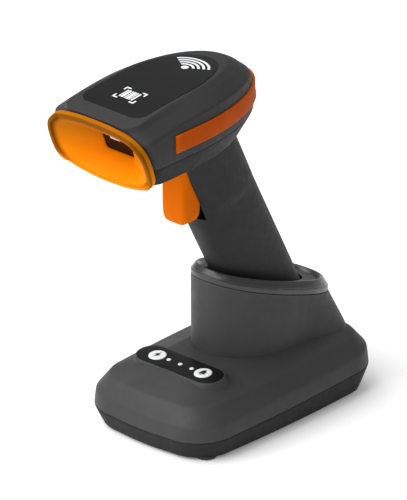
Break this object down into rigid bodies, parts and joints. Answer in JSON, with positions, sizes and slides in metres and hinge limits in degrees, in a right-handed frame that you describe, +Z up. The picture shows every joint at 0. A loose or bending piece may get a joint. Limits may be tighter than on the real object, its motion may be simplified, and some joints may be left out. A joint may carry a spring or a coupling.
{
  "type": "handheld barcode scanner with charging cradle",
  "caption": "Cordless pistol-grip barcode scanner with an orange scan mouth and trigger, standing in a weighted charging cradle with two keys.",
  "frame": {"origin": "middle of the footprint box of the whole object, on the surface the rubber feet stand on", "axes": "+Z up, the scanner's nose looks along -Y, X = 0 is the mirror plane"},
  "size_m": [0.0946, 0.1885, 0.2135],
  "materials": {
    "grey_shell": "fine-textured moulding",
    "grey_cradle": "fine-textured moulding",
    "grey_rim": "smoother moulding",
    "orange": "satin",
    "orange_band": "satin",
    "orange_trigger": "satin",
    "black_gloss": "polished",
    "black_matt": "plain",
    "dark_window": "tinted, clear",
    "lens_glass": "coated lens",
    "aimer_glass": "red lens",
    "circuit_green": "solder mask",
    "chip_black": "moulded chip body",
    "tin_can": "tinned",
    "screw_steel": "zinc plated",
    "spring_steel": "drawn wire",
    "ballast_steel": "painted plate",
    "gold": "gold plated",
    "battery_wrap": "shrink wrap",
    "light_guide": "frosted",
    "key_white": "satin",
    "rubber": "soft"
  },
  "bodies": {
    "cradle": {"ballast_plate": "ballast_steel", "base_screws": "screw_steel", "board_parts": "chip_black", "collar": "grey_cradle", "collar_rim": "grey_rim", "contact_block": "black_matt", "contact_springs": "spring_steel", "control_plate": "black_gloss", "cradle_board": "circuit_green", "cradle_pan": "grey_cradle", "cradle_shell": "grey_cradle", "indicator_lights": "light_guide", "key_board": "circuit_green", "key_switches": "chip_black", "rubber_feet": "rubber", "usb_inlet": "tin_can", "usb_tongue": "black_matt", "well_liner": "grey_cradle"},
    "scanner": {"aimer_lens": "aimer_glass", "battery_ends": "tin_can", "battery_frame": "black_matt", "battery_pack": "battery_wrap", "beeper": "chip_black", "board_chips": "chip_black", "board_screws": "screw_steel", "bumper_band": "orange_band", "cap_screw": "screw_steel", "charge_pads": "gold", "engine_board": "circuit_green", "engine_housing": "black_matt", "engine_lens": "lens_glass", "grip_cap": "grey_shell", "grip_left": "grey_shell", "grip_right": "grey_shell", "head_cover": "grey_shell", "head_tray": "grey_shell", "main_board": "circuit_green", "nose_bezel": "orange", "radio_module": "tin_can", "scan_window": "dark_window", "status_light": "light_guide", "top_panel": "black_gloss", "trigger_lugs": "grey_shell", "trigger_pin": "screw_steel", "trigger_spring": "spring_steel", "trigger_switch": "chip_black"},
    "trigger": {"trigger_lever": "orange_trigger"},
    "key_left": {"key_left": "key_white"},
    "key_right": {"key_right": "key_white"},
    "contact_pins": {"contact_pins": "gold"}
  },
  "joints": [
    {"name": "scanner_lift", "type": "slide", "parent": "cradle", "child": "scanner", "axis": [0, -0.4633, 0.8862], "range_m": [0, 0.1]},
    {"name": "trigger_pull", "type": "hinge", "parent": "scanner", "child": "trigger", "pos_m": [0, -0.016, 0.173], "axis": [1, 0, 0], "range_deg": [0, 4.5], "stiffness_Nm_per_rad": 0.6, "springref_deg": -4.01},
    {"name": "key_left_press", "type": "slide", "parent": "cradle", "child": "key_left", "axis": [0, 0.0872, -0.9962], "range_m": [0, 0.0006], "stiffness_N_per_m": 1200, "springref_m": -0.0005},
    {"name": "key_right_press", "type": "slide", "parent": "cradle", "child": "key_right", "axis": [0, 0.0872, -0.9962], "range_m": [0, 0.0006], "stiffness_N_per_m": 1200, "springref_m": -0.0005},
    {"name": "pins_sink", "type": "slide", "parent": "cradle", "child": "contact_pins", "axis": [0, -0.4633, 0.8862], "range_m": [-0.0005, 0], "stiffness_N_per_m": 600, "springref_m": 0.0006}
  ]
}
